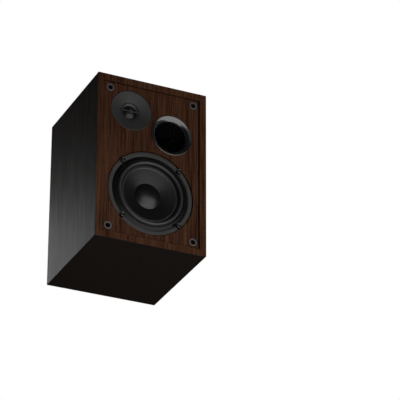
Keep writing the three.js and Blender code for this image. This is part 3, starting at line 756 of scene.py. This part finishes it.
def woofer_diaphragm():
    surround = [
        (41.0, 8.55),
        (42.3, 7.35, 0.5),
        (43.2, 7.2, 0.5),
        (44.3, 8.0),
        *arch(49.3, 3.7, 7.5, 1.0, 24),
        (53.2, 6.9),
        (54.0, 4.0, 0.6),
        (59.9, 7.0, 0.3),
        (60.1, 7.35),
        (53, 7.35),
        *reversed(arch(49.3, 2.9, 7.9, 1.8, 16)),
        (43.8, 7.9),
    ]
    ring = turned("woofer_surround", surround, WOOFER, segments=160)
    bends(ring)

    neck, slope, bulge, rib, per_rib = 20.5, 0.3684, 0.004, 0.05, 8
    ribs = []
    for k in range(75):
        r = 21.6 + 0.28 * k
        depth = 15.2 - slope * (r - neck) + bulge * (r - neck) * (r - 30)
        ribs.append((r, depth - rib * math.sin(math.tau * k / per_rib)))
    cone = [
        (13.3, 20.3),
        (16, 17.6, 1.5),
        (neck, 15.2),
        *ribs,
        (42.7, 8.15),
        (44.2, 7.95, 0.5),
        (46.2, 8.0, 0.2),
        (46.2, 8.7, 0.2),
        (43.2, 8.8),
        (30.3, 12.4, 4),
        (20.9, 15.9),
        (16.5, 18.2, 1.5),
        (13.8, 21.5),
        (13.3, 21.5),
    ]
    show(turned("woofer_cone", cone, WOOFER, segments=160))
    cap = [*dome(20.0, 6.8, 7.9, 16), (20.6, 15.0, 0.4), *reversed(dome(19.4, 6.6, 8.6, 14))]
    show(turned("woofer_dust_cap", cap, WOOFER, segments=128))
    show(turned("woofer_coil_former", tube(12.75, 13.1, 16.5, 47, 0.05), WOOFER))
    show(turned("woofer_voice_coil", tube(13.2, 13.8, 37.8, 46.8, 0.2), WOOFER))

    wide, seat, relief, steps, count = 40.0, 25.4, 1.1, 60, 5
    turns = [(k / steps * math.tau * count, wide - 26.7 * k / steps) for k in range(steps + 1)]
    spider = [(r, seat + relief * math.sin(t)) for t, r in turns if r > 15.2] + [(13.3, seat)]
    section = [*spider, *((r, d + 0.6) for r, d in reversed(spider))]
    damper = turned("woofer_spider", section, WOOFER, segments=128)
    bends(damper)


def woofer_motor():
    show(turned("woofer_top_plate", tube(14.6, 35, 40.3, 44.3), WOOFER))
    show(turned("woofer_magnet", tube(18, 36, 44.5, 58.5, 1.2), WOOFER))
    yoke = [
        (4, 40.3, 0.4),
        (12.3, 40.3, 0.4),
        (12.3, 58.7, 0.5),
        (35.5, 58.7, 0.3),
        (35.5, 63.2, 1.6),
        (4, 63.2, 0.8),
    ]
    show(turned("woofer_pole_yoke", yoke, WOOFER))

    x, y = -35.8, FRONT + 34.5
    show(bar("woofer_terminal_strip", (x - 1.8, x), around(y, 3.5), around(WOOFER[1], 11)))
    rivet = [(0, -0.8, 0.2), (1.1, -0.8, 0.3), (1.1, 0.8, 0.3), (0, 0.8, 0.2)]
    for k, dz in enumerate((-6, 6), 1):
        z = WOOFER[1] + dz
        tag = bar("tag", (x - 9, x - 1), around(y, 0.4), around(z, 2), 0.15)
        eyelet = turned("eyelet", rivet, (x - 3, z), y, 24)
        trim(union(f"woofer_solder_tag_{k}", tag, eyelet), "zinc_steel")


def woofer_screws():
    for k, at in enumerate(WOOFER_SCREWS, 1):
        head = [(0, 0.5), (3.5, 0.5, 0.45), (3.5, 5.6, 0.15), (1.9, 5.6), (1.9, 13, 0.8), (0, 15)]
        socket = turned("socket", [(0, -1), (1.75, -1), (1.75, 2.5), (0, 3.3)], at, segments=6)
        show(carved(turned(f"woofer_screw_{k}", head, at, segments=48), socket))


# ----------------------------------------------------------------------------------------------- tweeter


def tweeter():
    x, z = TWEETER
    section = [
        (10.9, 10.4),
        (10.9, 9.2, 0.4),
        (11.6, 9.0, 0.3),
        (13.6, 7.4, 0.4),
        (14.1, 8.6),
        (15.0, 8.6),
        (15.0, 6.9, 0.2),
        (22, 5.2, 4),
        (30.4, 3.4, 1.5),
        (31.4, 3.1, 0.5),
        (32.6, 3.1, 0.45),
        (32.6, 5.8),
        (26.6, 5.8),
        (26.6, 10.4),
    ]
    horn = turned("horn", section, TWEETER, segments=144)
    bar_front, half = FRONT + 5.0, 0.8
    rod = bar("bar", around(x, 16), (bar_front, FRONT + 6.3), around(z, half), 0.35)
    ends = (x - 15.2, x + 15.2)
    feet = [bar("foot", around(end, half), (bar_front, FRONT + 7.4), around(z, half)) for end in ends]
    disc = turned("disc", [(0, 4.7), (3.1, 4.7, 0.5), (3.1, 6.5, 0.5), (0, 6.5)], TWEETER, segments=48)
    show(union("tweeter_faceplate", horn, rod, *feet, disc))

    bow = reversed(arch(11.6, 1.4, 10.7, 9.7, 10))
    roll = [(15.5, 10.7), (13.4, 10.7), *bow, (10, 10.75), (10, 11.1), (15.5, 11.1)]
    edge = turned("tweeter_surround", [(r, max(d, 10.45)) for r, d in roll], TWEETER)
    bends(edge)
    show(turned("tweeter_dome", shell(9.7, 3.4, 7, 0.4), TWEETER))
    show(turned("tweeter_voice_coil", tube(9.2, 9.6, 10.6, 15.6, 0.1), TWEETER))
    show(turned("tweeter_top_plate", tube(10.5, 22.5, 11.4, 14.4), TWEETER))
    show(turned("tweeter_magnet", tube(13, 23, 14.6, 22.6, 0.8), TWEETER))
    yoke = [
        (2, 11.4, 0.3),
        (8.8, 11.4, 0.3),
        (8.8, 22.8, 0.4),
        (22.5, 22.8, 0.3),
        (22.5, 26.3, 1),
        (2, 26.3, 0.5),
    ]
    show(turned("tweeter_pole_yoke", yoke, TWEETER))
    show(bar("tweeter_terminal_strip", around(x, 10), (FRONT + 26.6, FRONT + 28.2), around(z, 4)))
    for k, dx in enumerate((-5, 5), 1):
        depths = (FRONT + 27.7, FRONT + 34.2)
        trim(bar(f"tweeter_solder_tag_{k}", around(x + dx, 1.5), depths, around(z, 0.4), 0.15), "zinc_steel")


# --------------------------------------------------------------------------------------------- terminals


def thread(name, x, y0, y1, radius=3.0, groove=0.3, pitch=1.0, count=32, per_turn=8):
    """A threaded rod along Y with a plug bore in its back end."""
    at, bore, bore_length = (x, POST_Z), 2.05, 9
    steps = int((y1 - y0) / pitch * per_turn)
    rings = [[(x, y0, POST_Z)]]
    for k in range(steps + 1):
        y = y0 + (y1 - y0) * k / steps
        ease = min(1.0, k / per_turn, (steps - k) / per_turn)

        def reach(turn, y=y, ease=ease):
            phase = (y / pitch - turn / math.tau) % 1.0
            return radius - groove + groove * abs(2 * phase - 1) * ease

        rings.append([(px, y, pz) for px, pz in polar(reach, at, count)])
    for depth in (0, bore_length):
        rings.append([(px, y1 - depth, pz) for px, pz in circle(bore, at, count)])
    rings.append([(x, y1 - bore_length, POST_Z)])
    return skinned(name, rings)


def terminals():
    section = [
        (8, CUP_BACK_Y, 6),
        (8, REAR_Y, 6),
        (0, REAR_Y, 6),
        (0, 91.3, 6),
        (0.2, 91.8, 5.8),
        (0.7, 92, 5.3),
        (9.3, 92, 4.7),
        (9.8, 91.8, 4.2),
        (10, 91.3, 4),
        (10, 73.2, 4),
        (10.35, 72.35, 3.7),
        (11.2, CUP_FLOOR_Y, 3),
    ]
    show(swept("terminal_cup", section, *CUP_RIM, CUP_Z, capped=True))
    for k, at in enumerate(CUP_SCREWS, 1):
        body = [
            (0, -9.05),
            (1.5, -7.4),
            (1.5, 2.55),
            (3.2, 2.55, 0.2),
            (3.1, 3.4, 0.5),
            (2.1, 4.2, 0.6),
            (0, 4.35),
        ]
        depths = (REAR_Y + 3.2, REAR_Y + 6)
        cross = ((1.8, 0.35), (0.35, 1.8))
        blades = [bar("blade", around(at[0], w), depths, around(at[1], h), 0.1) for w, h in cross]
        show(carved(turned(f"terminal_cup_screw_{k}", body, at, REAR_Y, 40), *blades))

    bore, nut_y = 3.3, 65.2
    for colour, x in POSTS.items():
        at = (x, POST_Z)
        show(thread(f"{colour}_binding_post", x, 61.2, 87.7))
        show(turned(f"{colour}_post_collar", tube(bore, 5.6, 0, 2, 0.4), at, CUP_FLOOR_Y, 64))
        show(turned(f"{colour}_clamp_washer", tube(bore, 5, 2.1, 3.2, 0.2), at, CUP_FLOOR_Y, 64))
        fluted = polar(lambda turn: 5.8 - 0.7 * (0.5 - 0.5 * math.cos(10 * turn)) ** 2, at, 120)
        show(plates(f"{colour}_post_knob", [([fluted, circle(bore, at, 48)], 75.3, 88.3)], 0.35))
        nut = turned("nut", [(bore, 0, 0.2), (5, 0), (5, 2.6), (bore, 2.6, 0.2)], at, nut_y, 6)
        chamfer = turned("chamfer", [(4.7, -0.1), (5.4, -0.1), (5.4, 0.6)], at, nut_y, 48)
        show(union(f"{colour}_post_nut", carved(nut, chamfer)))


# --------------------------------------------------------------------------------------------- crossover


def crossover():
    holes = [circle(3.3, (x, POST_Z), 32) for x in POSTS.values()]
    rim = oval(72, 46, 1.0, CUP_Z, 4)
    show(plates("crossover_board", [([rim, *holes], BOARD_FRONT_Y, CUP_BACK_Y)], 0.1))
    seat = BOARD_FRONT_Y - 0.1
    at = (-22, CUP_Z + 9)
    bobbin = [
        (3, -14, 0.3),
        (11, -14, 0.4),
        (11, -12.8, 0.3),
        (5, -12.8),
        (5, -1.2),
        (11, -1.2, 0.3),
        (11, 0, 0.4),
        (3, 0, 0.3),
    ]
    # A known fault, kept as it was: the finish goes to the hidden CAD node, and the piece itself has none.
    show(turned("crossover_inductor", bobbin, at, seat)).data.materials.clear()
    hidden = bpy.data.objects["crossover_inductor"]
    hidden.data.materials.append(MATERIALS["black_plastic"])
    winding = [(5.1, -12.7), (10.2, -12.7, 0.4), (10.2, -1.3, 0.4), (5.1, -1.3)]
    trim(turned("inductor_winding", winding, at, seat), "copper")

    x0, x1, radius = 2.0, 28.0, 6.0
    axis = (seat - radius, CUP_Z + 14.5)
    front_end = ((x0, 0), (x0, 4.6), (x0 + 0.3, 5.4), (x0 + 1, radius))
    back_end = ((x1 - 1, radius), (x1 - 0.3, 5.4), (x1, 4.6), (x1, 0))
    rings = []
    for x, r in (*front_end, *back_end):
        turns = [math.tau * j / 64 for j in range(64 if r else 1)]
        rings.append([(x, axis[0] + r * math.sin(t), axis[1] + r * math.cos(t)) for t in turns])
    show(skinned("crossover_capacitor", rings))
    show(bar("crossover_resistor", (0, 24), (seat - 6, seat), (CUP_Z + 0.5, CUP_Z + 6.5), 0.5))


# ------------------------------------------------------------------------------------------------- wiring


def smooth_path(points, steps=12):
    """A centripetal Catmull-Rom curve through the points, sampled."""
    points = [Vector(p) for p in points]
    points = [2 * points[0] - points[1], *points, 2 * points[-1] - points[-2]]
    path = []
    for a, b, c, d in zip(points, points[1:], points[2:], points[3:]):
        knots = [0.0]
        for p, q in ((a, b), (b, c), (c, d)):
            knots.append(knots[-1] + math.sqrt((q - p).length))
        t0, t1, t2, t3 = knots
        for k in range(steps):
            t = t1 + (t2 - t1) * k / steps
            ab = a.lerp(b, (t - t0) / (t1 - t0))
            bc = b.lerp(c, (t - t1) / (t2 - t1))
            cd = c.lerp(d, (t - t2) / (t3 - t2))
            abc = ab.lerp(bc, (t - t0) / (t2 - t0))
            bcd = bc.lerp(cd, (t - t1) / (t3 - t1))
            path.append(abc.lerp(bcd, (t - t1) / (t2 - t1)))
    return [*path, points[-2]]


def lead(node, points, radius=1.1, count=16):
    """An insulated wire through points."""
    path = smooth_path(points)
    side = Vector((0, 0, 1)) if abs((path[1] - path[0]).normalized().z) < 0.9 else Vector((1, 0, 0))
    rings = [[path[0]]]
    for k, p in enumerate(path):
        ahead = (path[min(k + 1, len(path) - 1)] - path[max(k - 1, 0)]).normalized()
        side = (side - ahead * side.dot(ahead)).normalized()
        up = ahead.cross(side)
        turns = [math.tau * j / count for j in range(count)]
        rings.append([p + radius * (side * math.cos(t) + up * math.sin(t)) for t in turns])
    rings.append([path[-1]])
    show(skinned(node, rings))


def wiring():
    pad = BOARD_FRONT_Y - 0.3
    wx, wy, wz = -45.2, FRONT + 34.5, WOOFER[1]
    tx, ty, tz = TWEETER[0], FRONT + 34.6, TWEETER[1]
    for colour, side in (("red", -1), ("black", 1)):
        to_woofer = [
            (-30 - 2 * side, pad, CUP_Z - 17),
            (-30 - 2 * side, pad - 12, CUP_Z - 17),
            (-42, 10, 66 + 3 * side),
            (-55, -25, 68 + 4 * side),
            (-60, wy + 6, wz - 4 + 6 * side),
            (-56, wy, wz + 6 * side),
            (wx, wy, wz + 6 * side),
        ]
        to_tweeter = [
            (29 + 3 * side, pad, CUP_Z - 7),
            (29 + 3 * side, pad - 12, CUP_Z - 7),
            (22 + 3 * side, 32, 140),
            (-4 + 3 * side, 4, 188),
            (tx + 5 * side, ty + 24, tz),
            (tx + 5 * side, ty, tz),
        ]
        lead(f"woofer_{colour}_wire", to_woofer)
        lead(f"tweeter_{colour}_wire", to_tweeter)


def wadding():
    """A folded mat of loose fibre: a soft, uneven slab, rounder at its rim."""
    rng = random.Random(7)
    lumps = []
    for _ in range(60):
        spot = rng.uniform(-75, 75), rng.uniform(150, 258)
        lumps.append((*spot, rng.uniform(12, 26), rng.uniform(-1, 1)))
    (x0, x1), (y0, y1), (z0, z1) = (-75.0, 75.0), (60.5, 80.0), (150.0, 258.4)
    cx, cy, cz = (x0 + x1) / 2, (y0 + y1) / 2, (z0 + z1) / 2
    bm = bmesh.new()
    bmesh.ops.create_cube(bm, size=1.0)
    bmesh.ops.subdivide_edges(bm, edges=bm.edges[:], cuts=31, use_grid_fill=True)
    for v in bm.verts:
        u, across, w = (2 * c for c in v.co)
        x, z = cx + u * (x1 - x0) / 2, cz + w * (z1 - z0) / 2
        rim = 0.55 + 0.45 * math.sqrt(max(0.0, 1 - max(abs(u) ** 8, abs(w) ** 8)))
        taper = 1 - 0.12 * max(abs(u), abs(w)) ** 4
        swell = sum(s * math.exp(-((x - lx) ** 2 + (z - lz) ** 2) / r**2) for lx, lz, r, s in lumps)
        half = (y1 - y0) / 2 * rim * (0.86 + 0.06 * math.tanh(swell)) * taper
        pull = 1 - 0.03 * across * across - 0.012 * (1 + math.sin(x * 0.31) * math.cos(z * 0.27))
        v.co = (x * pull, cy + across * half, cz + (z - cz) * pull)
    mat = show(built("damping_wadding", bm, crease=80))


# ------------------------------------------------------------------------------------------------- stage


def floor():
    """A pale floor that only shows from above: the speaker is lit and looked at from below through it."""
    half, sunk = 4, 0.0005
    bm = bmesh.new()
    corners = ((-half, -half), (half, -half), (half, half), (-half, half))
    bm.faces.new([bm.verts.new((x, y, -sunk)) for x, y in corners])
    mesh = bpy.data.meshes.new("floor")
    bm.to_mesh(mesh)
    bm.free()
    obj = placed("floor", mesh)
    f = Finish("floor", 0.6)
    f.shade("Base Color", f.ramp(f.noise(0.02), (0.3, (0.78, 0.78, 0.78)), (0.7, (0.82, 0.82, 0.81))))
    f.shade("Emission Color", WHITE)
    f.shade("Emission Strength", FLOOR_GLOW)
    on_camera = f.node("LightPath", {}).outputs["Is Camera Ray"]
    from_below = f.node("NewGeometry", {}).outputs["Backfacing"]
    shown = f.node("Math", {0: on_camera, 1: from_below})
    shown.operation = "SUBTRACT"
    shown.use_clamp = True
    clear = f.node("BsdfTransparent", {}).outputs[0]
    mixed = f.node("MixShader", {0: shown.outputs[0], 1: clear, 2: f.shader.outputs[0]})
    f.put(f.output.inputs["Surface"], mixed.outputs[0])
    mesh.materials.append(f.material)


def aimed(obj, place, direction):
    obj.location = place
    obj.rotation_mode = "QUATERNION"
    obj.rotation_quaternion = Vector(direction).to_track_quat("-Z", "Y")
    return obj


def soft_light(name, place, target, width, height, power, mirrored=True):
    """A rectangular lamp, in metres and watts. Its reflection shows in glossy pieces if it is mirrored."""
    data = bpy.data.lights.new(name, "AREA")
    data.shape = "RECTANGLE"
    data.size, data.size_y, data.energy = width, height, power
    light = aimed(placed(name, data), place, Vector(target) - Vector(place))
    light.visible_camera = False
    light.visible_glossy = mirrored


def backdrop():
    """White as the camera sees it, and nearly dark as light."""
    world = bpy.data.worlds.new("studio")
    bpy.context.scene.world = world
    tree = Tree(world)
    on_camera = tree.node("LightPath", {}).outputs["Is Camera Ray"]
    light, seen = (
        tree.node("Background", {"Color": WHITE, "Strength": strength}).outputs[0]
        for strength in (AMBIENT, BACKDROP)
    )
    mixed = tree.node("MixShader", {0: on_camera, 1: light, 2: seen})
    tree.node("OutputWorld", {"Surface": mixed.outputs[0]})


def studio():
    floor()
    centre = (0.0, -0.09, 0.13)
    soft_light("key", (0.540, -1.562, -0.189), centre, 2.50, 1.2, 15.2)
    soft_light("low", (0.170, -0.630, -0.569), centre, 1.5, 0.62, 4.7)
    soft_light("fill", (-0.129, -1.568, 0.729), centre, 1.16, 0.71, 0.5)
    soft_light("left", (-0.28, 0.52, 0.160), (-0.088, 0.07, 0.040), 0.3, 0.36, 0.54)
    soft_light("top", (0.2, 0.4, 1.9), (0, 0, 0.1), 1.6, 1.6, 30, mirrored=False)
    soft_light("rear", (0.7, 1.9, 0.7), (0, 0, 0.1), 1.2, 1.0, 20)
    backdrop()
    bpy.context.scene.view_settings.view_transform = "Standard"

    camera = aimed(placed("camera", bpy.data.cameras.new("camera")), CAMERA_PLACE, CAMERA_AIM)
    camera.data.sensor_width = SENSOR
    camera.data.lens = LENS
    camera.data.clip_start, camera.data.clip_end = 0.05, 20.0
    bpy.context.scene.camera = camera


cabinet()
port_and_sockets()
woofer_frame()
woofer_diaphragm()
woofer_motor()
woofer_screws()
tweeter()
terminals()
crossover()
wiring()
wadding()
studio()
